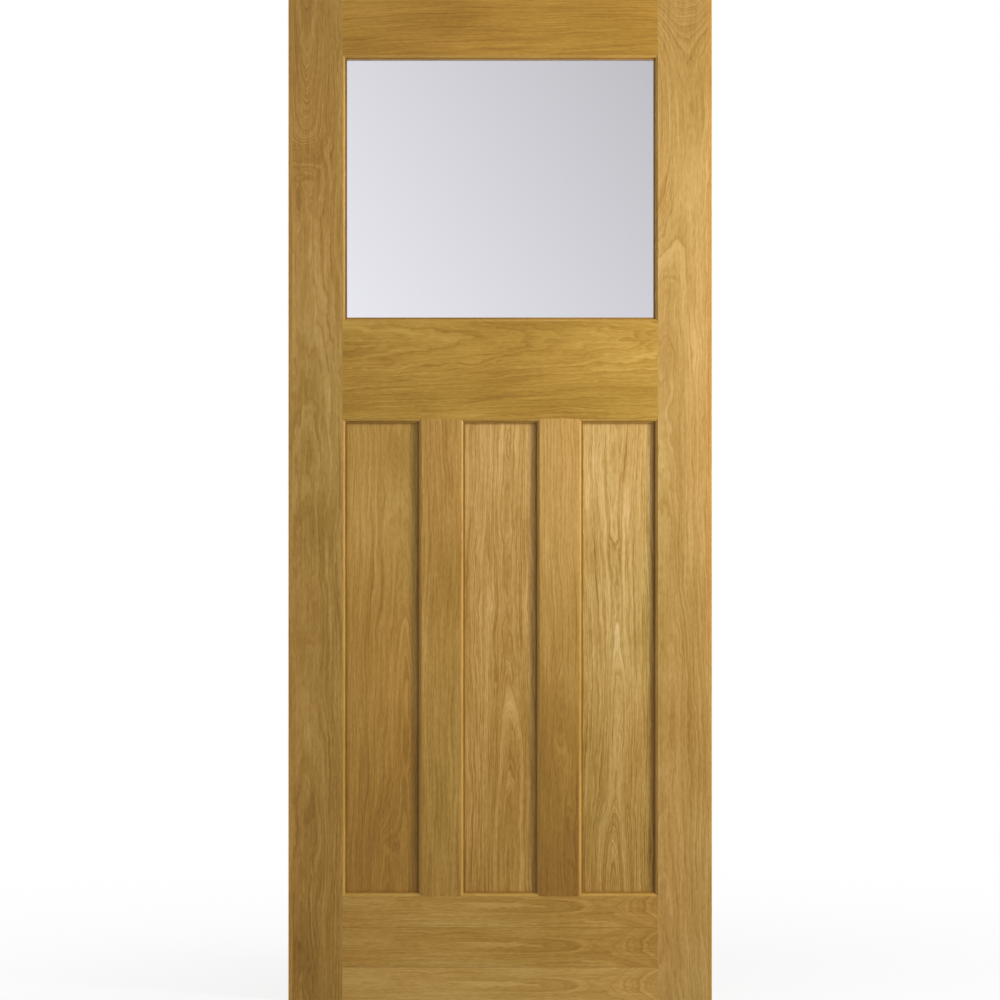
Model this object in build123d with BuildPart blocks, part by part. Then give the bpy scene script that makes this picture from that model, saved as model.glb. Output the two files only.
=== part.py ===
"""Oak glazed door leaf: one wide light over three tall flat panels.

The stiles, rails and muntins are engineered members. Each has a laminated softwood core with solid oak
lippings on its long edges and an oak veneer on both faces. The lippings beside an opening lie under the
veneers and carry the moulding: an ovolo on both faces with a groove between them. Rails are coped over the
stiles' mouldings and muntins over the rails', with a stub tongue in the groove. The panels sit in the
grooves. The glass sits in a rebate that opens to the back, between two strips of glazing tape, behind four
mitred beads.

Frame: the origin is on the hinge edge at floor level, in the middle of the thickness. +X runs across the
leaf to the lock edge, +Y from the front face to the back face, and +Z up. Lengths are in millimetres.
"""

import os

from build123d import *

# Leaf
LEAF_WIDTH = 838.0
LEAF_HEIGHT = 1981.0
LEAF_THICKNESS = 35.0

# Flat faces of the members, each measured up to the line where its moulding starts
STILE_FACE = 107.0
TOP_RAIL_FACE = 110.0
MIDDLE_RAIL_FACE = 193.0
BOTTOM_RAIL_FACE = 206.0
MUNTIN_FACE = 77.5
LIGHT_FACE_HEIGHT = 527.0

# Build-up of a member
VENEER_THICKNESS = 0.6
EDGE_LIPPING_WIDTH = 8.0
EDGE_ARRIS = 1.0
LIPPING_BACKING = 2.0

# Moulding, from the flat face down: a step, an ovolo, a narrow fillet and the groove for the panel
OVOLO_RADIUS = 5.5
FILLET_WIDTH = 2.5
MOULDING_STEP = 0.4
PANEL_RECESS = 11.5
GROOVE_UNDERCUT = 2.0

# Fits
COPE_FIT = 0.1
GROOVE_FIT = 0.1
TONGUE_END_GAP = 0.5
PANEL_EDGE_GAP = 1.5
BEAD_FIT = 0.2

# Glazing
GLASS_THICKNESS = 4.0
GLASS_EDGE_GAP = 2.0
TAPE_THICKNESS = 1.5
TAPE_WIDTH = 7.0
TAPE_BUTT_GAP = 0.5

# Names of the pieces that repeat across the leaf, from the hinge edge to the lock edge
PANEL_NAMES = ("left_panel", "centre_panel", "right_panel")
MUNTIN_NAMES = ("left_muntin", "right_muntin")

# Section sizes that follow from the values above. In a section, x is 0 on the line where the flat face ends
# and grows towards the opening, and y is 0 in the middle of the thickness.
HALF_THICKNESS = LEAF_THICKNESS / 2
OVOLO_START = VENEER_THICKNESS + MOULDING_STEP
SIGHT = OVOLO_RADIUS + FILLET_WIDTH
GROOVE_FLOOR = -GROOVE_UNDERCUT
LIPPING_BACK = GROOVE_FLOOR - LIPPING_BACKING
TONGUE_END = GROOVE_FLOOR + TONGUE_END_GAP
GROOVE_HALF_WIDTH = HALF_THICKNESS - PANEL_RECESS
CORE_HALF_THICKNESS = HALF_THICKNESS - VENEER_THICKNESS

# Face lines of the members in the leaf
LEFT_LINE = STILE_FACE
RIGHT_LINE = LEAF_WIDTH - STILE_FACE
BOTTOM_LINE = BOTTOM_RAIL_FACE
TOP_LINE = LEAF_HEIGHT - TOP_RAIL_FACE
LIGHT_SILL_LINE = TOP_LINE - LIGHT_FACE_HEIGHT
PANEL_HEAD_LINE = LIGHT_SILL_LINE - MIDDLE_RAIL_FACE

# Clear width of one panel between sight lines, and the step from one panel to the next
MUNTIN_SIGHT_WIDTH = MUNTIN_FACE + 2 * SIGHT
PANELS_SIGHT_WIDTH = RIGHT_LINE - LEFT_LINE - 2 * SIGHT - len(MUNTIN_NAMES) * MUNTIN_SIGHT_WIDTH
PANEL_SIGHT_WIDTH = PANELS_SIGHT_WIDTH / len(PANEL_NAMES)
PANEL_PITCH = PANEL_SIGHT_WIDTH + MUNTIN_SIGHT_WIDTH

# Rebate for the glass, which opens to the back
REBATE_LEFT = LEFT_LINE + GROOVE_FLOOR
REBATE_RIGHT = RIGHT_LINE - GROOVE_FLOOR
REBATE_BOTTOM = LIGHT_SILL_LINE + GROOVE_FLOOR
REBATE_TOP = TOP_LINE - GROOVE_FLOOR
GLASS_FRONT = TAPE_THICKNESS - GROOVE_HALF_WIDTH
GLASS_BACK = GLASS_FRONT + GLASS_THICKNESS
BEAD_FRONT = GLASS_BACK + TAPE_THICKNESS

# Directions across the leaf and up it
ACROSS = Vector(1, 0, 0)
UP = Vector(0, 0, 1)


def save(piece, name):
    """Labels a finished piece and writes it to its own file."""
    piece.label = name
    export_step(piece, os.path.join("parts", f"{name}.step"))


def lipping_outline():
    """Section of a moulded lipping: an ovolo and fillet on both faces and the groove between them."""
    ovolo_end = OVOLO_START + OVOLO_RADIUS - HALF_THICKNESS
    with BuildSketch() as outline:
        with BuildLine():
            Polyline(
                (LIPPING_BACK, 0),
                (LIPPING_BACK, -CORE_HALF_THICKNESS),
                (0, -CORE_HALF_THICKNESS),
                (0, OVOLO_START - HALF_THICKNESS),
            )
            CenterArc((0, ovolo_end), OVOLO_RADIUS, -90, 90)
            Polyline(
                (OVOLO_RADIUS, ovolo_end),
                (SIGHT, ovolo_end),
                (SIGHT, -GROOVE_HALF_WIDTH),
                (GROOVE_FLOOR, -GROOVE_HALF_WIDTH),
                (GROOVE_FLOOR, 0),
                (LIPPING_BACK, 0),
            )
        make_face()
        mirror(about=Plane.XZ)
    return outline.sketch


def cope_outline():
    """What a member's end loses to the moulding that it meets. It leaves a stub tongue for the groove."""
    ovolo_end = OVOLO_START + OVOLO_RADIUS - HALF_THICKNESS
    cope_radius = OVOLO_RADIUS + COPE_FIT
    tongue_half_width = GROOVE_HALF_WIDTH - GROOVE_FIT
    with BuildSketch() as outline:
        with BuildLine():
            CenterArc((0, ovolo_end), cope_radius, -90, 90)
            Polyline(
                (cope_radius, ovolo_end),
                (SIGHT + COPE_FIT, ovolo_end),
                (SIGHT + COPE_FIT, -tongue_half_width),
                (GROOVE_FLOOR, -tongue_half_width),
                (GROOVE_FLOOR, -LEAF_THICKNESS),
                (0, -LEAF_THICKNESS),
                (0, ovolo_end - cope_radius),
            )
        make_face()
        mirror(about=Plane.XZ)
    return outline.sketch


def bead_outline():
    """Section of a glazing bead. Its ovolo and fillet repeat the moulding on the back face."""
    ovolo_end = HALF_THICKNESS - OVOLO_START - OVOLO_RADIUS
    with BuildSketch() as outline:
        with BuildLine():
            CenterArc((0, ovolo_end), OVOLO_RADIUS, 0, 90)
            Polyline(
                (0, HALF_THICKNESS - OVOLO_START),
                (0, HALF_THICKNESS),
                (GROOVE_FLOOR + BEAD_FIT, HALF_THICKNESS),
                (GROOVE_FLOOR + BEAD_FIT, BEAD_FRONT),
                (SIGHT, BEAD_FRONT),
                (SIGHT, ovolo_end),
                (OVOLO_RADIUS, ovolo_end),
            )
        make_face()
    return outline.sketch


LIPPING_OUTLINE = lipping_outline()
COPE_OUTLINE = cope_outline()
BEAD_OUTLINE = bead_outline()


def section_plane(x, z, along, towards_opening):
    """Plane of a member's section at a point of its face line, looking along the member."""
    return Plane(origin=(x, 0, z), x_dir=towards_opening, z_dir=along)


# The mouldings that end a rail and a muntin: the two stiles' and the two rails'
STILE_COPES = (
    (section_plane(LEFT_LINE, 0, UP, ACROSS), LEAF_HEIGHT),
    (section_plane(RIGHT_LINE, 0, UP, -ACROSS), LEAF_HEIGHT),
)
RAIL_COPES = (
    (section_plane(0, BOTTOM_LINE, ACROSS, UP), LEAF_WIDTH),
    (section_plane(0, PANEL_HEAD_LINE, ACROSS, -UP), LEAF_WIDTH),
)


def cut_rebate():
    """Cuts the glass's rebate out of the piece that is being made."""
    middle = (
        (REBATE_LEFT + REBATE_RIGHT) / 2,
        (HALF_THICKNESS - GROOVE_HALF_WIDTH) / 2,
        (REBATE_BOTTOM + REBATE_TOP) / 2,
    )
    with Locations(middle):
        Box(
            REBATE_RIGHT - REBATE_LEFT,
            HALF_THICKNESS + GROOVE_HALF_WIDTH,
            REBATE_TOP - REBATE_BOTTOM,
            mode=Mode.SUBTRACT,
        )


def make_core(name, low_x, high_x, low_z, high_z, copes=()):
    """Laminated core of a member, coped over the mouldings at its ends."""
    middle = ((low_x + high_x) / 2, 0, (low_z + high_z) / 2)
    with BuildPart() as core:
        with Locations(middle):
            Box(high_x - low_x, 2 * CORE_HALF_THICKNESS, high_z - low_z)
        for plane, length in copes:
            with BuildSketch(plane):
                add(COPE_OUTLINE)
            extrude(amount=length, mode=Mode.SUBTRACT)
    save(core.part, f"{name}_core")


def make_veneers(name, low_x, high_x, low_z, high_z, glazed=False):
    """Front and back oak veneers of a member, over its core and its moulded lippings."""
    middle_x = (low_x + high_x) / 2
    middle_z = (low_z + high_z) / 2
    middle_y = HALF_THICKNESS - VENEER_THICKNESS / 2
    with BuildPart() as veneers:
        with Locations((middle_x, -middle_y, middle_z), (middle_x, middle_y, middle_z)):
            Box(high_x - low_x, VENEER_THICKNESS, high_z - low_z)
        if glazed:
            cut_rebate()
    save(veneers.part, f"{name}_veneers")


def make_moulding(name, plane, length, copes=(), glazed=False):
    """Moulded lipping of a member, coped at its ends. One that borders the light is rebated for the glass."""
    with BuildPart() as moulding:
        with BuildSketch(plane):
            add(LIPPING_OUTLINE)
        extrude(amount=length)
        for cope_plane, cope_length in copes:
            with BuildSketch(cope_plane):
                add(COPE_OUTLINE)
            extrude(amount=cope_length, mode=Mode.SUBTRACT)
        if glazed:
            cut_rebate()
    save(moulding.part, name)


def make_edge_lipping(name, outer_x, inward):
    """Solid oak lipping on the outer edge of a stile, with its two outer arrises eased."""
    with BuildPart() as lipping:
        with Locations((outer_x + inward * EDGE_LIPPING_WIDTH / 2, 0, LEAF_HEIGHT / 2)):
            Box(EDGE_LIPPING_WIDTH, LEAF_THICKNESS, LEAF_HEIGHT)
        outer_face = lipping.faces().filter_by(Axis.X).sort_by(Axis.X)[0 if inward > 0 else -1]
        fillet(outer_face.edges().filter_by(Axis.Z), radius=EDGE_ARRIS)
    save(lipping.part, name)


def make_stile(name, edge_x, line_x, inward):
    """Stile: edge lipping, core, veneers, and the moulding that runs its full height."""
    core_edge = edge_x + inward * EDGE_LIPPING_WIDTH
    core_low_x, core_high_x = sorted((core_edge, line_x + inward * LIPPING_BACK))
    face_low_x, face_high_x = sorted((core_edge, line_x))
    make_edge_lipping(f"{name}_edge_lipping", edge_x, inward)
    make_core(name, core_low_x, core_high_x, 0, LEAF_HEIGHT)
    make_veneers(name, face_low_x, face_high_x, 0, LEAF_HEIGHT, glazed=True)
    plane = section_plane(line_x, 0, UP, inward * ACROSS)
    make_moulding(f"{name}_moulding", plane, LEAF_HEIGHT, glazed=True)


def make_rail_moulding(name, line_z, towards_opening, glazed=False):
    """Moulded lipping along one edge of a rail, from stile to stile."""
    plane = section_plane(LEFT_LINE + TONGUE_END, line_z, ACROSS, towards_opening)
    make_moulding(name, plane, RIGHT_LINE - LEFT_LINE - 2 * TONGUE_END, STILE_COPES, glazed)


def make_rail_core(name, low_z, high_z):
    """Core of a rail, from stile to stile. Only its tongues pass the stiles' face lines."""
    make_core(name, LEFT_LINE + TONGUE_END, RIGHT_LINE - TONGUE_END, low_z, high_z, STILE_COPES)


def make_rail_veneers(name, low_z, high_z, glazed=False):
    """Veneers of a rail, from stile to stile."""
    make_veneers(name, LEFT_LINE, RIGHT_LINE, low_z, high_z, glazed)


def make_muntin(name, left_line):
    """Muntin between the middle and bottom rails, with a moulding on both sides."""
    right_line = left_line + MUNTIN_FACE
    core_left, core_right = left_line - LIPPING_BACK, right_line + LIPPING_BACK
    tongue_foot, tongue_head = BOTTOM_LINE + TONGUE_END, PANEL_HEAD_LINE - TONGUE_END
    make_core(name, core_left, core_right, tongue_foot, tongue_head, RAIL_COPES)
    make_veneers(name, left_line, right_line, BOTTOM_LINE, PANEL_HEAD_LINE)
    for side, line_x, outward in (("left", left_line, -ACROSS), ("right", right_line, ACROSS)):
        plane = section_plane(line_x, tongue_foot, UP, outward)
        make_moulding(f"{name}_{side}_moulding", plane, tongue_head - tongue_foot, RAIL_COPES)


def make_panel(name, sight_left):
    """Flat panel, held in the grooves on its four sides."""
    in_groove = SIGHT - GROOVE_FLOOR - PANEL_EDGE_GAP
    sight_height = PANEL_HEAD_LINE - BOTTOM_LINE - 2 * SIGHT
    with BuildPart() as panel:
        with Locations((sight_left + PANEL_SIGHT_WIDTH / 2, 0, (BOTTOM_LINE + PANEL_HEAD_LINE) / 2)):
            Box(
                PANEL_SIGHT_WIDTH + 2 * in_groove,
                2 * (GROOVE_HALF_WIDTH - GROOVE_FIT),
                sight_height + 2 * in_groove,
            )
    save(panel.part, name)


def make_glass():
    """Single sheet of glass, clear of the rebate's floor on its four sides."""
    with BuildPart() as glass:
        middle = (
            (REBATE_LEFT + REBATE_RIGHT) / 2,
            (GLASS_FRONT + GLASS_BACK) / 2,
            (REBATE_BOTTOM + REBATE_TOP) / 2,
        )
        with Locations(middle):
            Box(
                REBATE_RIGHT - REBATE_LEFT - 2 * GLASS_EDGE_GAP,
                GLASS_THICKNESS,
                REBATE_TOP - REBATE_BOTTOM - 2 * GLASS_EDGE_GAP,
            )
    save(glass.part, "glass_pane")


def make_tape(name, low_y):
    """Glazing tape round the edge of the glass: two uprights, and two lengths that butt between them."""
    to_tape_middle = GROOVE_FLOOR + GLASS_EDGE_GAP + TAPE_WIDTH / 2
    left_x, right_x = LEFT_LINE + to_tape_middle, RIGHT_LINE - to_tape_middle
    low_z, high_z = LIGHT_SILL_LINE + to_tape_middle, TOP_LINE - to_tape_middle
    middle_y = low_y + TAPE_THICKNESS / 2
    with BuildPart() as tape:
        with Locations(
            (left_x, middle_y, (low_z + high_z) / 2),
            (right_x, middle_y, (low_z + high_z) / 2),
        ):
            Box(TAPE_WIDTH, TAPE_THICKNESS, high_z - low_z + TAPE_WIDTH)
        with Locations(
            ((left_x + right_x) / 2, middle_y, low_z),
            ((left_x + right_x) / 2, middle_y, high_z),
        ):
            Box(right_x - left_x - TAPE_WIDTH - 2 * TAPE_BUTT_GAP, TAPE_THICKNESS, TAPE_WIDTH)
    save(tape.part, name)


def make_bead(name, plane, length):
    """Glazing bead, mitred at both ends, so that four of them close the rebate behind the glass."""
    with BuildPart() as bead:
        with BuildSketch(plane):
            add(BEAD_OUTLINE)
        extrude(amount=length)
        start = plane.from_local_coords((GROOVE_FLOOR, 0, 0))
        end = plane.from_local_coords((GROOVE_FLOOR, 0, length))
        split(bisect_by=Plane(origin=start, z_dir=plane.z_dir - plane.x_dir), keep=Keep.TOP)
        split(bisect_by=Plane(origin=end, z_dir=-plane.z_dir - plane.x_dir), keep=Keep.TOP)
    save(bead.part, name)


def make_beads():
    """Four beads. Each runs the way that turns its section's y axis to the back face."""
    rebate_width = REBATE_RIGHT - REBATE_LEFT
    rebate_height = REBATE_TOP - REBATE_BOTTOM
    make_bead("left_bead", section_plane(LEFT_LINE, REBATE_BOTTOM, UP, ACROSS), rebate_height)
    make_bead("right_bead", section_plane(RIGHT_LINE, REBATE_TOP, -UP, -ACROSS), rebate_height)
    make_bead("top_bead", section_plane(REBATE_LEFT, TOP_LINE, ACROSS, -UP), rebate_width)
    make_bead("bottom_bead", section_plane(REBATE_RIGHT, LIGHT_SILL_LINE, -ACROSS, UP), rebate_width)


os.makedirs("parts", exist_ok=True)

make_stile("hinge_stile", 0, LEFT_LINE, 1)
make_stile("lock_stile", LEAF_WIDTH, RIGHT_LINE, -1)

make_rail_core("top_rail", TOP_LINE - LIPPING_BACK, LEAF_HEIGHT)
make_rail_veneers("top_rail", TOP_LINE, LEAF_HEIGHT, glazed=True)
make_rail_moulding("top_rail_moulding", TOP_LINE, -UP, glazed=True)

make_rail_core("middle_rail", PANEL_HEAD_LINE - LIPPING_BACK, LIGHT_SILL_LINE + LIPPING_BACK)
make_rail_veneers("middle_rail", PANEL_HEAD_LINE, LIGHT_SILL_LINE, glazed=True)
make_rail_moulding("middle_rail_upper_moulding", LIGHT_SILL_LINE, UP, glazed=True)
make_rail_moulding("middle_rail_lower_moulding", PANEL_HEAD_LINE, -UP)

make_rail_core("bottom_rail", 0, BOTTOM_LINE + LIPPING_BACK)
make_rail_veneers("bottom_rail", 0, BOTTOM_LINE)
make_rail_moulding("bottom_rail_moulding", BOTTOM_LINE, UP)

for index, muntin_name in enumerate(MUNTIN_NAMES, start=1):
    make_muntin(muntin_name, LEFT_LINE + index * PANEL_PITCH - MUNTIN_FACE)

for index, panel_name in enumerate(PANEL_NAMES):
    make_panel(panel_name, LEFT_LINE + SIGHT + index * PANEL_PITCH)

make_glass()
make_tape("front_glazing_tape", -GROOVE_HALF_WIDTH)
make_tape("back_glazing_tape", GLASS_BACK)
make_beads()
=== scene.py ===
"""Oak glazed door leaf: one wide light over three tall flat panels, seen straight on in a white studio."""

from math import pi, radians, sqrt

import bmesh
import bpy
from mathutils import Matrix, Vector


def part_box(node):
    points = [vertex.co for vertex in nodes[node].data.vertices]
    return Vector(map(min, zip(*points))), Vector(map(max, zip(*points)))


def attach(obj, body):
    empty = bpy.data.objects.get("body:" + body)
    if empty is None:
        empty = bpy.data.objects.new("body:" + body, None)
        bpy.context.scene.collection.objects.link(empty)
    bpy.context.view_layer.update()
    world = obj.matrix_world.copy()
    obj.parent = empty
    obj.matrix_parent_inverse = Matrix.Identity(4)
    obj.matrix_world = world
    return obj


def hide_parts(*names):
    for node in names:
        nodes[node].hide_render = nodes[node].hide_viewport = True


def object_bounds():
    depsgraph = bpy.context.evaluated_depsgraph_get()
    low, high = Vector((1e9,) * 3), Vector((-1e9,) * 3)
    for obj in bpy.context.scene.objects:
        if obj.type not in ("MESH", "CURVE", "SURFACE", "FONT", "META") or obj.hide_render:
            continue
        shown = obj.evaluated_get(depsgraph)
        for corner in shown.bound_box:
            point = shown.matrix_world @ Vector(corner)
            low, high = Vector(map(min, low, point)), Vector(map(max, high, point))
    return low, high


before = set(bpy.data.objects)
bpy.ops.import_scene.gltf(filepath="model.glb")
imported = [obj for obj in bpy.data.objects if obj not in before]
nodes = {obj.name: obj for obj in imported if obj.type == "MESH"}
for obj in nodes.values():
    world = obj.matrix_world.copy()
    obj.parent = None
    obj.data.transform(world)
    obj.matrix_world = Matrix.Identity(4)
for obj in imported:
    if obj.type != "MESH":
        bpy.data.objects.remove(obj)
cad_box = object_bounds()


# Cores. Each stile, rail and muntin is built round a core of softwood staves, glued edge to edge. The
# cores show only at the top and bottom edges of the leaf: as end grain in the stiles and as long grain
# in the rails. They are left bare there.
UPRIGHT = (0, 0, 0)
ALONG_RAIL = (0, pi / 2, 0)
STAVE_WIDTH = 0.0245
STAVE_GLUE_LINE = 0.0007
STAVE_LOG_WIDTH = 0.09
STAVE_LOG_DEPTH = 0.12
CORE_RING_WIDTH = 0.0034
CORE_EARLYWOOD = (0.64, 0.43, 0.21, 1)
CORE_LATEWOOD = (0.40, 0.21, 0.075, 1)
CORE_GLUE = (0.30, 0.18, 0.09, 1)


class Wire:
    """An output socket in a material's node tree. Arithmetic on wires adds Math nodes to the tree."""

    def __init__(self, tree, socket=None):
        self.tree = tree
        self.socket = socket

    def node(self, kind, settings, sockets, output=0):
        """Adds a node: its settings first, then the values or links of its sockets."""
        made = self.tree.nodes.new(f"ShaderNode{kind}")
        for name, value in settings.items():
            if name == "stops":
                while len(made.color_ramp.elements) < len(value):
                    made.color_ramp.elements.new(1)
                for element, (position, level) in zip(made.color_ramp.elements, value):
                    element.position = position
                    element.color = level if isinstance(level, tuple) else (level, level, level, 1)
            else:
                setattr(made, name, value)
        connect(self, made, sockets)
        if isinstance(output, tuple):
            return [Wire(self.tree, made.outputs[one]) for one in output]
        return Wire(self.tree, made.outputs[output])

    def math(self, operation, *others):
        return self.node("Math", {"operation": operation}, dict(enumerate((self, *others))))

    def __add__(self, other):
        return self.math("ADD", other)

    def __sub__(self, other):
        return self.math("SUBTRACT", other)

    def __rsub__(self, other):
        return self.node("Math", {"operation": "SUBTRACT"}, {0: other, 1: self})

    def __mul__(self, other):
        return self.math("MULTIPLY", other)

    def __truediv__(self, other):
        return self.math("DIVIDE", other)

    __radd__ = __add__
    __rmul__ = __mul__


def connect(wires, shader, sockets):
    """Gives a node's sockets their values or links."""
    for name, value in sockets.items():
        if isinstance(value, Wire):
            wires.tree.links.new(value.socket, shader.inputs[name])
        else:
            shader.inputs[name].default_value = value


def start_finish(name):
    """A new material: its wires, its shader, and the place on the object that its pattern follows."""
    material = bpy.data.materials.new(name)
    material.use_nodes = True
    wires = Wire(material.node_tree)
    shader = material.node_tree.nodes["Principled BSDF"]
    place = wires.node("TexCoord", {}, {}, "Object")
    return material, wires, shader, place


def dress(node, material):
    """Gives a node of the frame its finish."""
    materials = nodes[node].data.materials
    materials.clear()
    materials.append(material)


def mix_colours(wires, share, first, second):
    """A colour between two colours."""
    return wires.node("Mix", {"data_type": "RGBA", "clamp_factor": False}, {0: share, 6: first, 7: second}, 2)


def stretched_noise(wires, place, across, along, detail=2.0, roughness=0.5):
    """Noise from -0.5 to 0.5 with its own scale across the grain and along it, per metre."""
    scaled = wires.node("VectorMath", {"operation": "MULTIPLY"}, {0: place, 1: (across, across, along)})
    noise = wires.node("TexNoise", {}, {"Vector": scaled, "Scale": 1, "Detail": detail,
                                        "Roughness": roughness})
    return noise - 0.5


def softwood(name, turn):
    """Finish of a core. The turn brings the grain to Z and the row of staves to X."""
    material, wires, shader, place = start_finish(name)
    local = wires.node("Mapping", {}, {"Vector": place, "Rotation": turn})
    across, depth = wires.node("SeparateXYZ", {}, {"Vector": local}, (0, 1))
    stave = across / STAVE_WIDTH
    own = wires.node("TexWhiteNoise", {"noise_dimensions": "1D"}, {"W": stave.math("FLOOR")}, "Color")
    own_x, own_y, own_tone = wires.node("SeparateColor", {}, {"Color": own}, (0, 1, 2))
    in_stave = stave.math("FRACT")
    ring_x = (in_stave - 0.5) * STAVE_WIDTH + (own_x - 0.5) * STAVE_LOG_WIDTH
    ring_y = depth + (own_y - 0.5) * STAVE_LOG_DEPTH
    wobble = stretched_noise(wires, local, 60, 3) * 0.004
    radius = (ring_x * ring_x + ring_y * ring_y).math("SQRT") + wobble
    late = (radius / CORE_RING_WIDTH).math("FRACT").math("POWER", 3)
    fibre = stretched_noise(wires, local, 900, 25, 3)
    tone = late * 0.75 + fibre * 0.5 + own_tone * 0.25
    wood = mix_colours(wires, tone.math("MAXIMUM", 0), CORE_EARLYWOOD, CORE_LATEWOOD)
    from_edge = 0.5 - (in_stave - 0.5).math("ABSOLUTE")
    glue = from_edge.math("LESS_THAN", STAVE_GLUE_LINE / STAVE_WIDTH / 2)
    colour = mix_colours(wires, glue, wood, CORE_GLUE)
    bump = wires.node("Bump", {}, {"Strength": 0.25, "Distance": 0.0003, "Height": fibre + late * 0.5})
    connect(wires, shader, {"Base Color": colour, "Roughness": 0.75 + fibre * 0.2, "Normal": bump})
    return material


STILE_CORE_WOOD = softwood("stile_core_wood", UPRIGHT)
RAIL_CORE_WOOD = softwood("rail_core_wood", ALONG_RAIL)
for core in ("hinge_stile_core", "lock_stile_core", "left_muntin_core", "right_muntin_core"):
    dress(core, STILE_CORE_WOOD)
for core in ("top_rail_core", "middle_rail_core", "bottom_rail_core"):
    dress(core, RAIL_CORE_WOOD)


# Moulded lippings. Solid oak strips on the core edges beside the openings, run through a spindle moulder:
# a step, an ovolo and a narrow fillet on both faces, and a groove between them. The rails' strips are
# scribed over the stiles', and the muntins' over the rails', so the mouldings meet like mitres.
OVOLO_RADIUS = 0.0055
OVOLO_SEGMENTS = 10
FILLET_WIDTH = 0.0025
SIGHT = OVOLO_RADIUS + FILLET_WIDTH
OVOLO_TOP = 0.0165
OVOLO_FOOT = OVOLO_TOP - OVOLO_RADIUS
GROOVE_FLOOR = -0.002
GROOVE_HALF_WIDTH = 0.006
TONGUE_END = -0.0015
BEVEL_SHARE = 0.998
MERGE_DISTANCE = 0.00003
LEVEL_TOLERANCE = 0.00001
SHARP_ANGLE = radians(32)

OAK_SHADES = {-0.6: (0.830, 0.555, 0.215, 1), 0: (0.644, 0.396, 0.110, 1), 0.5: (0.489, 0.274, 0.053, 1),
              0.8: (0.396, 0.207, 0.030, 1), 1.5: (0.213, 0.091, 0.007, 1)}
OAK_PALEST, OAK_DARKEST = min(OAK_SHADES), max(OAK_SHADES)
OAK_PORE = (0.172, 0.078, 0.009, 1)
OAK_GREENISH, OAK_REDDISH = (0.93, 1.02, 1.0, 1), (1.07, 0.98, 1.0, 1)
TONE_RANGE = 2
VENEER_JOINT = 0.0012
VENEER_SLIP = 0.006
# Painted shade on the mouldings: the fillet is darkened, fading out this far up the ovolo.
HOLLOW_SHADE_HEIGHT = 0.0025
# Painted shade on the panels: their edges next to the mouldings are darkened, fading out over this width.
RIM_SHADE_WIDTH = 0.002
RIM_PAINTED_SHADE = 0.25
YEAR = [(0, 1), (0.1, 1), (0.4, 0.4), (0.8, 0.05), (0.92, 0.1), (1, 1)]
YEAR_MEAN = 0.38


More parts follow.
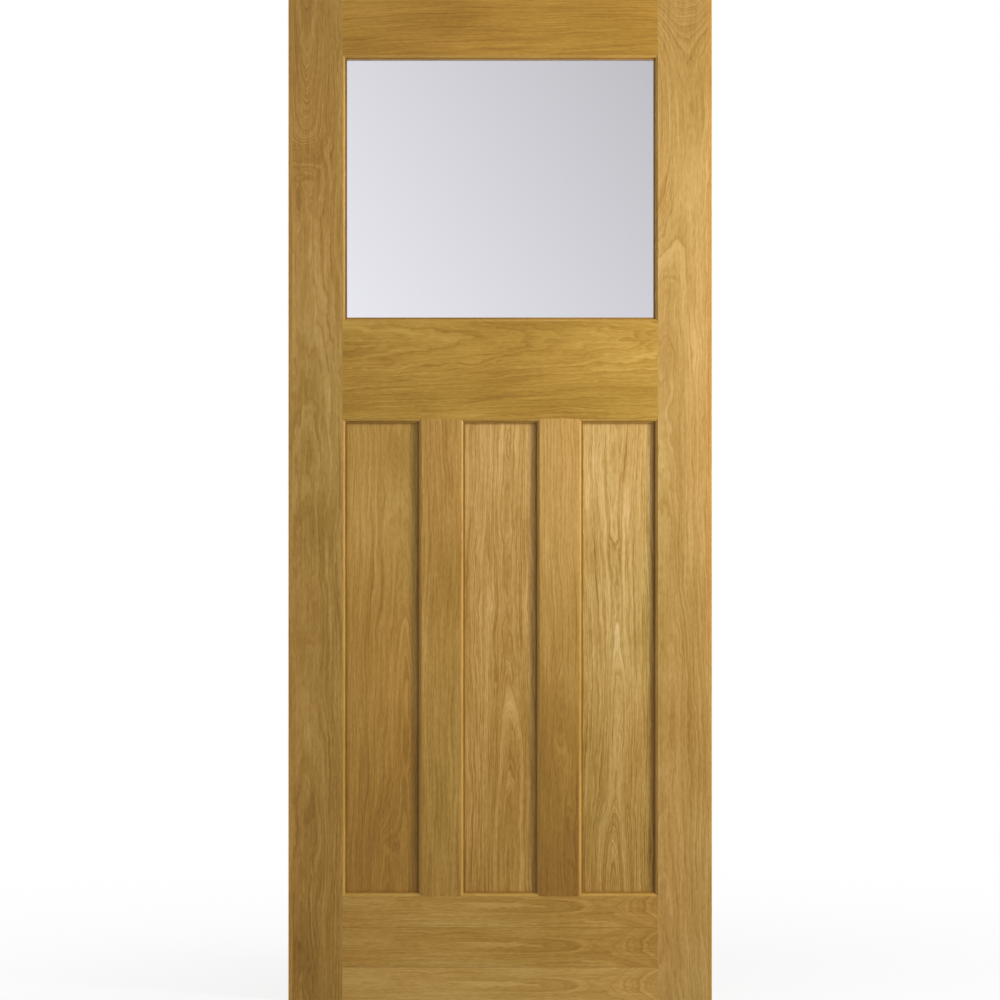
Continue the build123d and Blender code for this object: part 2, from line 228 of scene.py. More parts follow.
def oak(name, turn=UPRIGHT, pith=(0.3, 0.2), lean=0.0, sway=0.04, ring=0.005, figure=0.7, contrast=0.8,
        seed=0.0, tint=(1, 1, 1), swells=(), arches=(), tones_and_shade=((0, 0.5), (2, 0.5)), strips=None, shaded_rim=None,
        hollow_shade=0.0, mottle=0.9, ripple=0.003, gloss=0.46, shine=0.3):
    """Finish of a piece of oak, cut from a log whose pith runs along the piece.

    The turn brings the grain to Z and the width to X. The pith lies at (across, behind the face), leans
    away from the face along the grain and sways, which gives the arched figure. Ring is the width of a
    year, ripple how far the rings waver, figure how much the rings show and contrast how much all the grain
    shows. Swells are places where the rings bulge round an old branch: (across, along, half width, half
    length, height, darkness). Arches are places where the rings climb to the face, one inside the other:
    (across, along, half width, half length, height). Tones and shade give the darkness of the wood, about 0
    to 1, at places along it: partly the wood's own tone and partly painted shade of how the light falls,
    which makes most pieces darker towards the bottom. Mottle is how cloudy the wood is. Where strips give the
    lowest joint and the width of the veneer leaves, every leaf repeats the same figure in a tone of its own.
    A shaded rim is the visible part of a panel, whose edges next to the mouldings are darkened with painted
    shade. Hollow shade is how much painted shade darkens the fillet and the foot of the ovolo. Gloss is the
    lacquer's roughness and shine its reflection.
    """
    material, wires, shader, place = start_finish(name)
    local = wires.node("Mapping", {}, {"Vector": place, "Rotation": turn})
    across, depth, along = wires.node("SeparateXYZ", {}, {"Vector": local}, (0, 1, 2))
    from_end = along * (-1 if any(turn) else 1)
    # The darkness along the piece: partly the wood's own tone and partly painted shade of how the light
    # falls.
    tone_and_shade = wires.node("ValToRGB", {"stops": [(at / TONE_RANGE, level) for at, level in tones_and_shade]},
                            {"Fac": from_end / TONE_RANGE})
    if strips:
        lowest, width = strips
        leaf = (across - lowest) / width
        number = leaf.math("FLOOR")
        in_leaf = leaf.math("FRACT")
        joint = (0.5 - (in_leaf - 0.5).math("ABSOLUTE")).math("LESS_THAN", VENEER_JOINT / 2 / width)
        across = in_leaf * width
        along = along + number * VENEER_SLIP
        local = wires.node("CombineXYZ", {}, {"X": across, "Y": depth, "Z": along})
        leaf_tone = wires.node("TexWhiteNoise", {"noise_dimensions": "1D"}, {"W": number + seed}, "Value")
        tone_and_shade = tone_and_shade + (leaf_tone - 0.5) * 0.4
    own = wires.node("VectorMath", {"operation": "ADD"}, {0: local, 1: (seed * 3.7, seed * 1.9, seed * 5.3)})

    ring_x = across - pith[0] + stretched_noise(wires, own, 3.0, 1.5, 1) * 0.06
    ring_y = depth + pith[1] + along * lean + stretched_noise(wires, own, 2.2, 1.1, 1) * sway
    wander = stretched_noise(wires, own, 18, 6, 2) * 0.014 + stretched_noise(wires, own, 45, 15, 2) * 0.008
    radius = (ring_x * ring_x + ring_y * ring_y).math("SQRT") + wander
    radius = radius + stretched_noise(wires, own, 80, 25, 2) * ripple
    for arch_x, arch_z, half_width, half_length, height in arches:
        from_x = (across - arch_x + wander * 0.8) / half_width
        hump = (from_x * from_x * -1).math("EXPONENT")
        climb = ((along - arch_z + wander * 5) / half_length).math("TANH")
        radius = radius + hump * (climb * height - abs(height)) / 2
    for swell_x, swell_z, half_width, half_length, height, darkness in swells:
        from_x = (across - swell_x) / half_width
        from_z = (along - swell_z) / half_length
        bulge = ((from_x * from_x + from_z * from_z) * -1).math("EXPONENT")
        radius = radius + bulge * height
        tone_and_shade = tone_and_shade + bulge * darkness

    in_log = wires.node("CombineXYZ", {}, {"X": radius, "Y": seed, "Z": along})
    band = stretched_noise(wires, in_log, 60, 1.2, 1)
    line = stretched_noise(wires, in_log, 240, 6, 2, 0.6)
    vein = (1 - stretched_noise(wires, in_log, 120, 3, 1).math("ABSOLUTE") * 9).math("MAXIMUM", 0)
    rings = radius / ring + band * 1.5
    year = wires.node("TexWhiteNoise", {"noise_dimensions": "1D"}, {"W": rings.math("FLOOR")}, "Value") - 0.5
    early = wires.node("ValToRGB", {"stops": YEAR}, {"Fac": rings.math("FRACT")}) - YEAR_MEAN

    flow = wires.node("CombineXYZ", {}, {"X": wander * 0.8})
    in_flow = wires.node("VectorMath", {"operation": "ADD"}, {0: own, 1: flow})
    fibre = stretched_noise(wires, in_flow, 300, 7, 2, 0.6)
    fleck = stretched_noise(wires, own, 260, 75, 1)
    cloud = stretched_noise(wires, own, 14, 4, 3)
    warmth = stretched_noise(wires, own, 6, 1.8, 1)
    pore_noise = stretched_noise(wires, own, 1500, 45, 2)
    pores = ((pore_noise + early * 0.12 - 0.14) * 9).math("MAXIMUM", 0).math("MINIMUM", 1)

    ring_tone = early * (0.28 + year * 0.28) + year * 0.25 + band * 0.8 + line * 1.7 + (0.4 - vein) * 0.22
    grain = ring_tone * figure + fibre * 0.8 + fleck * 0.6 + cloud * mottle
    shade = tone_and_shade + grain * contrast
    # Painted shade along the edges of a panel's visible part.
    if shaded_rim:
        low, high = shaded_rim
        from_side = (across - low.x).math("MINIMUM", high.x - across)
        from_rim = (along - low.z).math("MINIMUM", high.z - along).math("MINIMUM", from_side)
        shade = shade + (from_rim / -RIM_SHADE_WIDTH).math("EXPONENT").math("MINIMUM", 1) * RIM_PAINTED_SHADE
    # Painted shade on the fillet and the foot of the ovolo.
    if hollow_shade:
        from_foot = (depth.math("ABSOLUTE") - OVOLO_FOOT) / HOLLOW_SHADE_HEIGHT
        shade = shade + (1 - from_foot).math("MAXIMUM", 0).math("MINIMUM", 1) * hollow_shade

    span = OAK_DARKEST - OAK_PALEST
    shades = [((level - OAK_PALEST) / span, colour) for level, colour in OAK_SHADES.items()]
    wood = wires.node("ValToRGB", {"stops": shades}, {"Fac": (shade - OAK_PALEST) / span})
    blush = mix_colours(wires, warmth + 0.5, OAK_GREENISH, OAK_REDDISH)
    wood = wires.node("VectorMath", {"operation": "MULTIPLY"}, {0: wood, 1: blush})
    wood = wires.node("VectorMath", {"operation": "MULTIPLY"}, {0: wood, 1: tint})
    wood = mix_colours(wires, pores * 0.4, wood, OAK_PORE)
    if strips:
        wood = mix_colours(wires, joint * 0.5, wood, OAK_PORE)
    relief = fibre * 0.5 - pores - early * 0.2
    bump = wires.node("Bump", {}, {"Strength": 0.3, "Distance": 0.00025, "Height": relief})
    connect(wires, shader, {"Base Color": wood, "Roughness": gloss + cloud * 0.12 + pores * 0.2,
                            "Specular IOR Level": shine, "Normal": bump})
    return material


def rounded_outline(mesh, corners, rounded):
    """A flat section through the given corners, with the ovolo's radius on some of them."""
    face = mesh.faces.new([mesh.verts.new((*corner, 0)) for corner in corners])
    arrises = [face.verts[corners.index(corner)] for corner in rounded]
    bmesh.ops.bevel(mesh, geom=arrises, offset=OVOLO_RADIUS * BEVEL_SHARE, offset_type="OFFSET",
                    segments=OVOLO_SEGMENTS, profile=0.5, affect="VERTICES", material=-1)
    bmesh.ops.remove_doubles(mesh, verts=mesh.verts, dist=MERGE_DISTANCE)


def lipping_section(mesh, back, rebated):
    """Section of a moulded lipping: x towards the opening, y through the thickness."""
    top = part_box("bottom_rail_core")[1].y
    front = [(back, -top), (0, -top), (0, -OVOLO_TOP), (OVOLO_RADIUS, -OVOLO_TOP),
             (OVOLO_RADIUS, -OVOLO_FOOT), (SIGHT, -OVOLO_FOOT), (SIGHT, -GROOVE_HALF_WIDTH),
             (GROOVE_FLOOR, -GROOVE_HALF_WIDTH)]
    if rebated:
        rounded_outline(mesh, front + [(GROOVE_FLOOR, top), (back, top)], [front[3]])
    else:
        behind = [(x, -y) for x, y in reversed(front)]
        rounded_outline(mesh, front + behind, [front[3], behind[4]])


def scribed(vertex):
    """How far a lipping's end stands back from the face line of the moulding that it meets."""
    depth = abs(vertex.co.y)
    if depth > OVOLO_TOP - LEVEL_TOLERANCE:
        met = 0.0
    elif depth > OVOLO_FOOT:
        met = sqrt(OVOLO_RADIUS**2 - (depth - OVOLO_FOOT) ** 2)
    else:
        met = SIGHT
    return max(met, vertex.co.x)


def square(vertex):
    """A square end."""
    return 0.0


def run_section(mesh, length, end):
    """Runs the flat section that the mesh holds along Z, with both ends cut to shape."""
    run = bmesh.ops.extrude_face_region(mesh, geom=mesh.faces[:])["geom"]
    far = [part for part in run if isinstance(part, bmesh.types.BMVert)]
    near = [vertex for vertex in mesh.verts if vertex not in far]
    for vertex in near:
        vertex.co.z = end(vertex)
    for vertex in far:
        vertex.co.z = length - end(vertex)
    bmesh.ops.recalc_face_normals(mesh, faces=mesh.faces[:])


def set_in_place(mesh, origin, along, towards):
    """Turns a finished run from its section's axes to its place in the leaf."""
    turn = Matrix((towards, (0, 1, 0), along)).transposed().to_4x4()
    bmesh.ops.transform(mesh, matrix=Matrix.Translation(origin) @ turn, verts=mesh.verts[:])
    bmesh.ops.recalc_face_normals(mesh, faces=mesh.faces[:])


def make_object(name, mesh, material):
    """Makes a finished mesh an object of the scene."""
    data = bpy.data.meshes.new(name)
    mesh.to_mesh(data)
    mesh.free()
    data.materials.append(material)
    made = bpy.data.objects.new(name, data)
    bpy.context.scene.collection.objects.link(made)
    return made


def finish_oak_piece(node, mesh, material):
    """Makes the mesh a solid oak piece that stands for a node of the frame."""
    piece = make_object(f"{node}_oak", mesh, material)
    piece.data.shade_smooth()
    piece.data.set_sharp_from_angle(angle=SHARP_ANGLE)
    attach(piece, "root")
    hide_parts(node)


UP, ACROSS = Vector((0, 0, 1)), Vector((1, 0, 0))
LEAF_LOW, LEAF_HIGH = cad_box
LEFT_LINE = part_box("hinge_stile_veneers")[1].x
RIGHT_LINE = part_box("lock_stile_veneers")[0].x
SILL_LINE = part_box("middle_rail_veneers")[1].z
HEAD_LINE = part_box("top_rail_veneers")[0].z
PANEL_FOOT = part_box("bottom_rail_veneers")[1].z
PANEL_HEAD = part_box("middle_rail_veneers")[0].z
LIPPING_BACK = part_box("hinge_stile_moulding")[0].x - LEFT_LINE


def stile_moulding(node, line, towards, material):
    """A stile's moulding runs its full height, rebated for the glass beside the light."""
    lengths = [(LEAF_LOW.z, SILL_LINE + GROOVE_FLOOR, False),
               (SILL_LINE + GROOVE_FLOOR, HEAD_LINE - GROOVE_FLOOR, True),
               (HEAD_LINE - GROOVE_FLOOR, LEAF_HIGH.z, False)]
    whole = bmesh.new()
    for low, high, rebated in lengths:
        part = bmesh.new()
        lipping_section(part, LIPPING_BACK, rebated)
        run_section(part, high - low, square)
        set_in_place(part, (line, 0, low), UP, towards)
        joined = bpy.data.meshes.new("length")
        part.to_mesh(joined)
        part.free()
        whole.from_mesh(joined)
        bpy.data.meshes.remove(joined)
    finish_oak_piece(node, whole, material)


def scribed_moulding(node, origin, along, towards, length, material, rebated=False):
    """A rail's or a muntin's moulding, scribed over the mouldings at its ends."""
    part = bmesh.new()
    lipping_section(part, LIPPING_BACK, rebated)
    run_section(part, length, scribed)
    set_in_place(part, origin, along, towards)
    finish_oak_piece(node, part, material)


STRIP_CUT = {"ring": 0.0024, "figure": 0.4, "contrast": 0.6, "gloss": 0.28, "shine": 0.2,
             "tones_and_shade": [(0, 0.4), (2, 0.4)]}
# How much painted shade darkens the fillets: more on the upright strips than on the level ones.
UPRIGHT_HOLLOW_SHADE, LEVEL_HOLLOW_SHADE = 0.85, 0.55
STILE_STRIP = oak("stile_strip_oak", pith=(0.9, 0.5), seed=1.3, hollow_shade=UPRIGHT_HOLLOW_SHADE, **STRIP_CUT)
RAIL_STRIP = oak("rail_strip_oak", turn=ALONG_RAIL, pith=(0.7, 0.6), seed=2.1, hollow_shade=LEVEL_HOLLOW_SHADE,
                 **STRIP_CUT)
MUNTIN_STRIP = oak("muntin_strip_oak", pith=(0.2, 0.9), seed=4.4, hollow_shade=UPRIGHT_HOLLOW_SHADE, **STRIP_CUT)

stile_moulding("hinge_stile_moulding", LEFT_LINE, ACROSS, STILE_STRIP)
stile_moulding("lock_stile_moulding", RIGHT_LINE, -ACROSS, STILE_STRIP)
for node, line, towards, rebated in (("top_rail_moulding", HEAD_LINE, -UP, True),
                                     ("middle_rail_upper_moulding", SILL_LINE, UP, True),
                                     ("middle_rail_lower_moulding", PANEL_HEAD, -UP, False),
                                     ("bottom_rail_moulding", PANEL_FOOT, UP, False)):
    scribed_moulding(node, (LEFT_LINE, 0, line), ACROSS, towards, RIGHT_LINE - LEFT_LINE, RAIL_STRIP, rebated)
for muntin in ("left_muntin", "right_muntin"):
    low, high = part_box(f"{muntin}_veneers")
    for side, line, towards in (("left", low.x, -ACROSS), ("right", high.x, ACROSS)):
        scribed_moulding(f"{muntin}_{side}_moulding", (line, 0, PANEL_FOOT), UP, towards,
                         PANEL_HEAD - PANEL_FOOT, MUNTIN_STRIP)


# Edge lippings. Solid oak strips, glued to the outer edges of the stiles after the faces were veneered, so
# they can be planed to fit an opening. Their outer arrises are eased by hand.
ARRIS_RADIUS = 0.001
ARRIS_SEGMENTS = 4
ON_EDGE = 0.0001
EDGE_STRIP = oak("edge_strip_oak", pith=(0.4, 0.8), ring=0.0028, figure=0.4, seed=6.2, tint=(1.0, 0.94, 0.86))
for lipping, outer in (("hinge_stile_edge_lipping", LEAF_LOW.x), ("lock_stile_edge_lipping", LEAF_HIGH.x)):
    low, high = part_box(lipping)
    strip = bmesh.new()
    bmesh.ops.create_cube(strip, size=1)
    bmesh.ops.scale(strip, vec=high - low, verts=strip.verts[:])
    bmesh.ops.translate(strip, vec=(low + high) / 2, verts=strip.verts[:])
    upright = [edge for edge in strip.edges if abs(edge.verts[0].co.z - edge.verts[1].co.z) > ON_EDGE]
    arrises = [edge for edge in upright if abs(edge.verts[0].co.x - outer) < ON_EDGE]
    bmesh.ops.bevel(strip, geom=arrises, offset=ARRIS_RADIUS, offset_type="OFFSET", segments=ARRIS_SEGMENTS,
                    profile=0.5, affect="EDGES", material=-1)
    finish_oak_piece(lipping, strip, EDGE_STRIP)


# Veneers. Leaves of oak, sliced thin and pressed on both faces of every member, then sanded and given a
# satin lacquer. The grain runs along each member. The bottom rail has narrow leaves with one figure.
# The tones of the members are partly their own and partly painted shade of how the light falls.
VENEERS = {
    "hinge_stile": {
        "pith": (0.03, 0.05), "lean": 0.03, "seed": 11.0, "contrast": 0.8, "ripple": 0.006,
        "swells": [(0.036, 2.05, 0.030, 0.28, -0.14, 0), (0.035, 1.675, 0.03, 0.03, 0.03, 0.08),
                   (0.032, 1.628, 0.018, 0.006, 0.010, 0.25), (0.020, 1.590, 0.006, 0.035, 0.016, 0.4),
                   (0.014, 1.46, 0.003, 0.06, 0.004, 0.3)],
        "tint": (1, 1.03, 1.2), "tones_and_shade": [(0.1, 0.86), (0.6, 0.73), (1.1, 0.52), (1.55, 0.6), (1.9, 0.73)]},
    "lock_stile": {
        "pith": (0.74, 0.06), "lean": 0.02, "seed": 12.6, "contrast": 0.72, "ripple": 0.006,
        "swells": [(0.72, 1.75, 0.05, 0.26, 0.09, 0), (0.785, 2.07, 0.12, 0.11, -0.12, 0)],
        "tint": (1, 1.02, 1.27), "tones_and_shade": [(0.1, 0.43), (0.6, 0.66), (1.1, 0.36), (1.65, 0.41), (1.9, 0.69)]},
    "top_rail": {
        "turn": ALONG_RAIL, "pith": (1.80, 0.09), "lean": 0.02, "seed": 13.1, "contrast": 0.62, "mottle": 1.6,
        "swells": [(1.946, -0.665, 0.010, 0.06, 0, 0.2)],
        "tint": (0.98, 0.95, 0.66), "tones_and_shade": [(0.15, 0.68), (0.7, 0.78)]},
    "middle_rail": {
        "turn": ALONG_RAIL, "pith": (1.307, 0.05), "lean": -0.06, "seed": 14.9, "figure": 0.8,
        "contrast": 0.66, "mottle": 1.7, "ripple": 0.009,
        "swells": [(1.268, -0.19, 0.0014, 0.02, 0, 0.4), (1.228, -0.22, 0.0014, 0.012, 0, 0.5)],
        "tint": (0.98, 1.0, 0.74), "tones_and_shade": [(0.15, 0.54), (0.42, 0.69), (0.7, 0.52)]},
    "bottom_rail": {
        "turn": ALONG_RAIL, "pith": (0.045, 0.05), "lean": -0.02, "seed": 15.2, "contrast": 0.72,
        "mottle": 1.2, "ripple": 0.007, "strips": (-0.012, 0.078),
        "swells": [(0.03, -0.81, 0.15, 0.13, -0.07, 0)], "arches": [(0.045, -0.575, 0.022, 0.05, -0.03)],
        "tones_and_shade": [(0.2, 0.42), (0.42, 0.37), (0.7, 0.57)]},
    "left_muntin": {
        "pith": (0.42, 0.12), "seed": 16.7, "contrast": 0.8, "figure": 0.6,
        "tint": (1, 1, 1.07), "tones_and_shade": [(0.3, 0.74), (0.69, 0.6), (1.1, 0.54)]},
    "right_muntin": {
        "pith": (0.40, 0.10), "seed": 17.3, "contrast": 0.75, "figure": 0.6,
        "swells": [(0.532, 0.55, 0.016, 0.09, 0.025, 0.1), (0.548, 0.33, 0.012, 0.09, 0.02, 0.12)],
        "tint": (1, 1, 1.05), "tones_and_shade": [(0.3, 1.13), (0.65, 0.65), (1.05, 0.28)]},
}
for member, cut in VENEERS.items():
    dress(f"{member}_veneers", oak(f"{member}_veneer", **cut))


# Panels. Flat boards with an oak veneer on both faces, dropped dry into the grooves of the mouldings, so
# that they can move. Each is cut from wide leaves with tall arched figure.
PANEL_SLACK = 0.001
IN_GROOVE = Vector((1, 0, 1)) * (SIGHT - TONGUE_END - PANEL_SLACK)
# The panels' tones are partly their own and partly painted shade, darker towards the bottom.
PANELS = {
    "left_panel": {
        "pith": (0.22, 0.04), "lean": 0.02, "seed": 21.4, "figure": 0.75, "contrast": 0.75, "ripple": 0.004,
        "arches": [(0.235, 0.83, 0.02, 0.10, 0.02), (0.19, 0.32, 0.03, 0.06, 0.03)],
        "tones_and_shade": [(0.3, 1.0), (0.6, 0.62), (1.05, 0.46)]},
    "centre_panel": {
        "pith": (0.437, 0.008), "lean": 0.01, "ring": 0.004, "seed": 22.8, "figure": 0.95, "contrast": 0.9,
        "ripple": 0.006,
        "arches": [(0.447, 0.57, 0.03, 0.05, 0.035), (0.425, 0.42, 0.03, 0.06, 0.03)],
        "swells": [(0.413, 0.64, 0.004, 0.04, 0.006, 0.35), (0.446, 0.585, 0.012, 0.05, 0, -0.25)],
        "tint": (1, 1, 1.1), "tones_and_shade": [(0.3, 0.58), (1.05, 0.2)]},
    "right_panel": {
        "pith": (0.643, 0.008), "lean": 0.01, "ring": 0.004, "seed": 23.5, "figure": 1.0, "contrast": 0.95,
        "ripple": 0.007,
        "arches": [(0.638, 0.35, 0.03, 0.06, 0.05), (0.650, 0.66, 0.02, 0.05, 0.015),
                   (0.674, 0.95, 0.03, 0.08, -0.018)],
        "tint": (1, 1.03, 1.2), "tones_and_shade": [(0.3, 0.68), (0.69, 0.3), (1.05, 0.13)]},
}
# Each panel's visible part is darkened with painted shade along its edges next to the mouldings.
for panel, cut in PANELS.items():
    low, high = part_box(panel)
    dress(panel, oak(f"{panel}_veneer", shaded_rim=(low + IN_GROOVE, high - IN_GROOVE), **cut))


# Glass. One clear sheet of float glass, with a faint grey tint and a very slight waviness. Foam tape holds
# it off the rebate in front and off the beads behind.
GLASS_TINT = (0.93, 0.93, 0.95, 1)
TAPE_PALE, TAPE_DARK = (0.62, 0.59, 0.52, 1), (0.38, 0.35, 0.30, 1)
glass, wires, shader, place = start_finish("clear_float_glass")
wave = wires.node("TexNoise", {}, {"Vector": place, "Scale": 3.0, "Detail": 1.0})
haze = wires.node("TexNoise", {}, {"Vector": place, "Scale": 14.0, "Detail": 4.0})
bump = wires.node("Bump", {}, {"Strength": 0.02, "Distance": 0.002, "Height": wave})
connect(wires, shader, {"Base Color": GLASS_TINT, "Roughness": haze * 0.02, "IOR": 1.5,
                        "Transmission Weight": 1.0, "Normal": bump})
dress("glass_pane", glass)

tape, wires, shader, place = start_finish("glazing_tape_foam")
cells = wires.node("TexVoronoi", {}, {"Vector": place, "Scale": 1400.0})
mottle = wires.node("TexNoise", {}, {"Vector": place, "Scale": 120.0, "Detail": 3.0})
foam = mix_colours(wires, cells * 0.5 + mottle * 0.4, TAPE_PALE, TAPE_DARK)
bump = wires.node("Bump", {}, {"Strength": 0.3, "Distance": 0.0003, "Height": cells})
connect(wires, shader, {"Base Color": foam, "Roughness": 0.8 + mottle * 0.15, "Normal": bump})
for strip in ("front_glazing_tape", "back_glazing_tape"):
    dress(strip, tape)


# Beads. Four loose oak beads close the rebate behind the glass. Each repeats the moulding of the back face
# and is mitred at the corners. A row of fine pins holds it, punched below the surface and filled with wax.
BEAD_FIT = 0.0002
BEAD_STRIP = oak("bead_oak", pith=(0.5, 0.7), seed=31.0, hollow_shade=UPRIGHT_HOLLOW_SHADE, **STRIP_CUT)
BEAD_STRIP_ACROSS = oak("bead_oak_across", turn=ALONG_RAIL, pith=(0.5, 0.7), seed=32.0, hollow_shade=LEVEL_HOLLOW_SHADE,
                        **STRIP_CUT)
REBATE_LOW = Vector((LEFT_LINE + GROOVE_FLOOR, 0, SILL_LINE + GROOVE_FLOOR))
REBATE_HIGH = Vector((RIGHT_LINE - GROOVE_FLOOR, 0, HEAD_LINE - GROOVE_FLOOR))
REBATE_SIZE = REBATE_HIGH - REBATE_LOW
BEADS = (
    ("left_bead", Vector((LEFT_LINE, 0, REBATE_LOW.z)), UP, ACROSS, REBATE_SIZE.z, BEAD_STRIP),
    ("right_bead", Vector((RIGHT_LINE, 0, REBATE_LOW.z)), UP, -ACROSS, REBATE_SIZE.z, BEAD_STRIP),
    ("top_bead", Vector((REBATE_LOW.x, 0, HEAD_LINE)), ACROSS, -UP, REBATE_SIZE.x, BEAD_STRIP_ACROSS),
    ("bottom_bead", Vector((REBATE_LOW.x, 0, SILL_LINE)), ACROSS, UP, REBATE_SIZE.x, BEAD_STRIP_ACROSS),
)
PIN_HOLE_RADIUS = 0.0009
PIN_HOLE_TOP_RADIUS = PIN_HOLE_RADIUS * 0.7
PIN_HOLE_SEGMENTS = 16
WAX_HEIGHT = 0.0002
PIN_SPACING = 0.145
PIN_END_DISTANCE = 0.045
WAX_DARK, WAX_PALE = (0.20, 0.095, 0.020, 1), (0.33, 0.175, 0.045, 1)


def mitred(vertex):
    """A mitre, measured from the floor of the rebate."""
    return vertex.co.x - GROOVE_FLOOR


pin_holes = bmesh.new()
seat = GROOVE_FLOOR + BEAD_FIT
on_ovolo = OVOLO_RADIUS * sqrt(0.5)
for node, origin, along, towards, length, material in BEADS:
    low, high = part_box(node)
    corners = [(seat, low.y), (SIGHT, low.y), (SIGHT, OVOLO_FOOT), (OVOLO_RADIUS, OVOLO_FOOT),
               (OVOLO_RADIUS, OVOLO_TOP), (0, OVOLO_TOP), (0, high.y), (seat, high.y)]
    bead = bmesh.new()
    rounded_outline(bead, corners, [corners[4]])
    run_section(bead, length, mitred)
    set_in_place(bead, origin, along, towards)
    finish_oak_piece(node, bead, material)

    pinned = length - 2 * PIN_END_DISTANCE
    spaces = round(pinned / PIN_SPACING)
    outward = (towards + Vector((0, 1, 0))).normalized()
    for number in range(spaces + 1):
        at = PIN_END_DISTANCE + pinned * number / spaces
        spot = origin + along * at + towards * on_ovolo + Vector((0, OVOLO_FOOT + on_ovolo, 0))
        lie = Matrix.Translation(spot) @ outward.to_track_quat("Z", "Y").to_matrix().to_4x4()
        bmesh.ops.create_cone(pin_holes, cap_ends=True, segments=PIN_HOLE_SEGMENTS, radius1=PIN_HOLE_RADIUS,
                              radius2=PIN_HOLE_TOP_RADIUS, depth=WAX_HEIGHT, matrix=lie)

wax, wires, shader, place = start_finish("pin_hole_wax")
smear = wires.node("TexNoise", {}, {"Vector": place, "Scale": 900.0, "Detail": 3.0})
brown = mix_colours(wires, smear, WAX_DARK, WAX_PALE)
bump = wires.node("Bump", {}, {"Strength": 0.2, "Distance": 0.0002, "Height": smear})
connect(wires, shader, {"Base Color": brown, "Roughness": 0.4 + smear * 0.2, "Normal": bump})
bead_pin_holes = make_object("bead_pin_holes", pin_holes, wax)
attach(bead_pin_holes, "root")


# Studio. The leaf stands on a white floor in front of white, and its soft shadow fades out on the floor
# round it. A tall narrow lamp stands close, to the right, a weaker one behind, to the left, and the white end
# walls of the room fill the shadows.
LEAF_CENTRE = (LEAF_LOW + LEAF_HIGH) / 2
WHITE = (1, 1, 1, 1)
RAYS_THAT_SHOW = ("Is Camera Ray", "Is Glossy Ray", "Is Transmission Ray")
FLOOR_HALF_SIZE = 12
FLOOR_GREY = 0.24
FLOOR_GREY_SHOWN = 0.6
SHADOW_REACH = 1.2
SHADOW_SHARE = 0.22
floor_finish, wires, shader, place = start_finish("studio_floor_white")
paper = wires.node("TexNoise", {}, {"Vector": place, "Scale": 3.0, "Detail": 2.0})
seen, shown, through = wires.node("LightPath", {}, {}, RAYS_THAT_SHOW)
backed = seen.math("MAXIMUM", shown).math("MAXIMUM", through)
grey = FLOOR_GREY + paper * 0.04 + backed * FLOOR_GREY_SHOWN
matt_grey = wires.node("CombineColor", {}, {0: grey, 1: grey, 2: grey})
matt = wires.node("BsdfDiffuse", {}, {"Color": matt_grey})
white = wires.node("Emission", {}, {"Color": WHITE, "Strength": 1})
floor_x, floor_y = wires.node("SeparateXYZ", {}, {"Vector": place}, (0, 1))
from_x = (floor_x - LEAF_CENTRE.x) / SHADOW_REACH
from_y = floor_y / SHADOW_REACH
near = ((from_x * from_x + from_y * from_y) * -1).math("EXPONENT")
mixed = wires.node("MixShader", {}, {0: backed * (1 - near * SHADOW_SHARE), 1: matt, 2: white})
connect(wires, floor_finish.node_tree.nodes["Material Output"], {"Surface": mixed})
floor_mesh = bmesh.new()
bmesh.ops.create_grid(floor_mesh, x_segments=1, y_segments=1, size=FLOOR_HALF_SIZE)
make_object("studio_floor", floor_mesh, floor_finish)

PANE_GREY, PANE_DARKEST, PANE_PALEST = 0.86, 0.55, 0.9
PANE_FALL_TO_RIGHT, PANE_FALL_UPWARDS = 2.2, 1.6
PANE_RED, PANE_GREEN, PANE_BLUE = 0.985, 0.98, 1.03
FILL_FROM_SIDES, FILL_FROM_ENDS, FILL_LOST_ABOVE = 0.30, 0.77, 0.45
world = bpy.data.worlds.new("white_room")
world.use_nodes = True
bpy.context.scene.world = world
wires = Wire(world.node_tree)
seen, shown, through = wires.node("LightPath", {}, {}, RAYS_THAT_SHOW)
direction = wires.node("TexCoord", {}, {}, "Generated")
side, ahead, rise = wires.node("SeparateXYZ", {}, {"Vector": direction}, (0, 1, 2))
graded = PANE_GREY - side * PANE_FALL_TO_RIGHT - rise * PANE_FALL_UPWARDS
graded = graded.math("MAXIMUM", PANE_DARKEST).math("MINIMUM", PANE_PALEST)
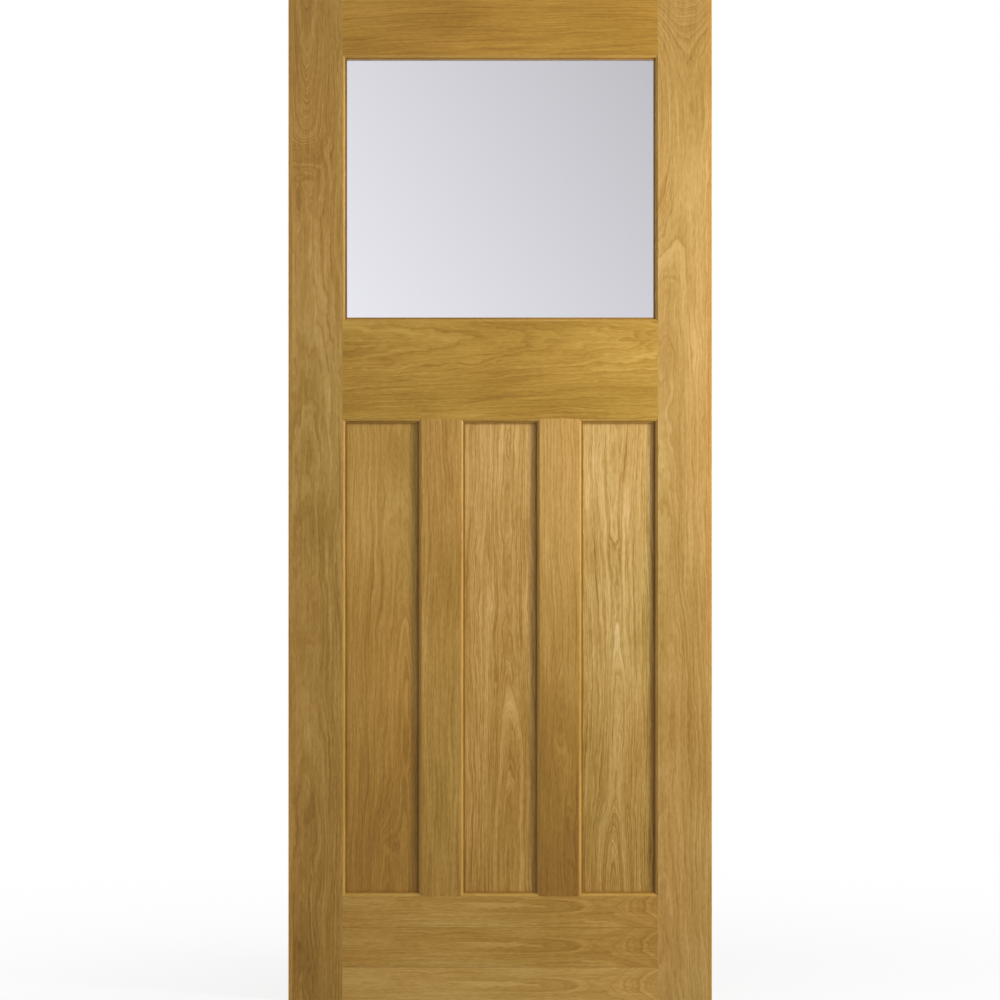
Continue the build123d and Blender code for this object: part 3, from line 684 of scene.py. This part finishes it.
behind_pane = wires.node("CombineColor", {}, {0: graded * PANE_RED, 1: graded * PANE_GREEN,
                                              2: graded * PANE_BLUE})
fill = FILL_FROM_SIDES + ahead.math("ABSOLUTE") * FILL_FROM_ENDS - rise.math("MAXIMUM", 0) * FILL_LOST_ABOVE
fill = fill.math("MAXIMUM", 0)
level = fill + seen.math("MAXIMUM", shown).math("MAXIMUM", through) * (1 - fill)
connect(wires, world.node_tree.nodes["Background"],
        {"Color": mix_colours(wires, through, WHITE, behind_pane), "Strength": level})

LAMP_WIDTH, LAMP_HEIGHT = 0.5, 1.3
for lamp_name, from_leaf, power in (("key_lamp", Vector((1.75, -1.05, 0.5)), 42),
                                    ("back_lamp", Vector((-1.75, 1.05, 0.5)), 22)):
    lamp_data = bpy.data.lights.new(lamp_name, "AREA")
    lamp_data.shape = "RECTANGLE"
    lamp_data.size = LAMP_WIDTH
    lamp_data.size_y = LAMP_HEIGHT
    lamp_data.energy = power
    lamp = bpy.data.objects.new(lamp_name, lamp_data)
    lamp.location = LEAF_CENTRE + from_leaf
    lamp.rotation_mode = "QUATERNION"
    lamp.rotation_quaternion = Vector((from_leaf.x, from_leaf.y, 0)).to_track_quat("Z", "Y")
    bpy.context.scene.collection.objects.link(lamp)


# Camera. Straight in front of the leaf at half its height, far enough back that the leaf fills the frame
# from top to bottom with almost no perspective.
SENSOR_MM = 36
CAMERA_DISTANCE = 6.5
CAMERA_TO_LEFT = 0.0003
FRAME_CROP = 0.002
camera_data = bpy.data.cameras.new("front_camera")
camera_data.sensor_width = SENSOR_MM
camera_data.lens = SENSOR_MM * CAMERA_DISTANCE / (LEAF_HIGH.z - LEAF_LOW.z - FRAME_CROP)
camera = bpy.data.objects.new("front_camera", camera_data)
camera.location = (LEAF_CENTRE.x - CAMERA_TO_LEFT, LEAF_LOW.y - CAMERA_DISTANCE, LEAF_CENTRE.z)
camera.rotation_euler = (pi / 2, 0, 0)
bpy.context.scene.collection.objects.link(camera)
bpy.context.scene.camera = camera
bpy.context.scene.view_settings.view_transform = "Standard"
